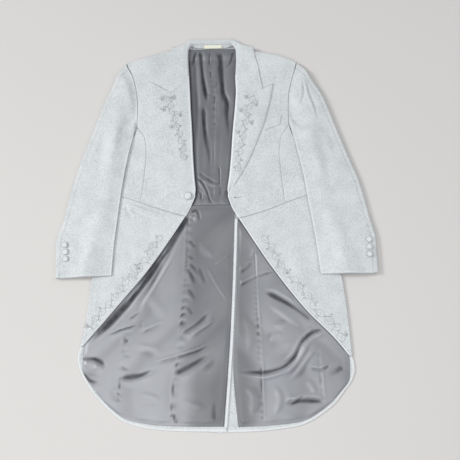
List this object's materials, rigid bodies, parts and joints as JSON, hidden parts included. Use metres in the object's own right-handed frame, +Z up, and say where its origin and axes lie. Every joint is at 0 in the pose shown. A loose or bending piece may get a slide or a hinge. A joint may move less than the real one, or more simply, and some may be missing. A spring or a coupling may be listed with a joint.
{
  "type": "cutaway morning coat",
  "caption": "Pale grey embroidered cutaway tailcoat with peaked lapels and a back vent, laid open and flat on its back.",
  "frame": {"origin": "middle of the laid coat's outline, on the surface that it lies on", "axes": "+Y from the hem to the collar, +X towards the wearer's left, +Z up out of the surface that it lies on"},
  "size_m": [0.8174, 1.0344, 0.0257],
  "materials": {
    "cloth": "pale silver-grey woven suiting with a fine mottle and tone-on-tone scroll embroidery",
    "lining": "dark grey satin lining",
    "label": "blank cream woven label",
    "button": "button covered in the coat's cloth"
  },
  "bodies": {
    "root": {"back_left": "cloth", "back_right": "cloth", "side_left": "cloth", "side_right": "cloth", "front_left": "cloth", "front_right": "cloth", "skirt_left": "cloth", "skirt_right": "cloth", "lapel_left": "cloth", "lapel_right": "cloth", "collar": "cloth", "sleeve_upper_left": "cloth", "sleeve_upper_right": "cloth", "sleeve_under_left": "cloth", "sleeve_under_right": "cloth", "lining_back": "lining", "lining_skirt_left": "lining", "lining_skirt_right": "lining", "chest_welt": "cloth", "neck_label": "label", "front_button": "button", "cuff_button_left_1": "button", "cuff_button_left_2": "button", "cuff_button_left_3": "button", "cuff_button_right_1": "button", "cuff_button_right_2": "button", "cuff_button_right_3": "button"}
  },
  "joints": []
}
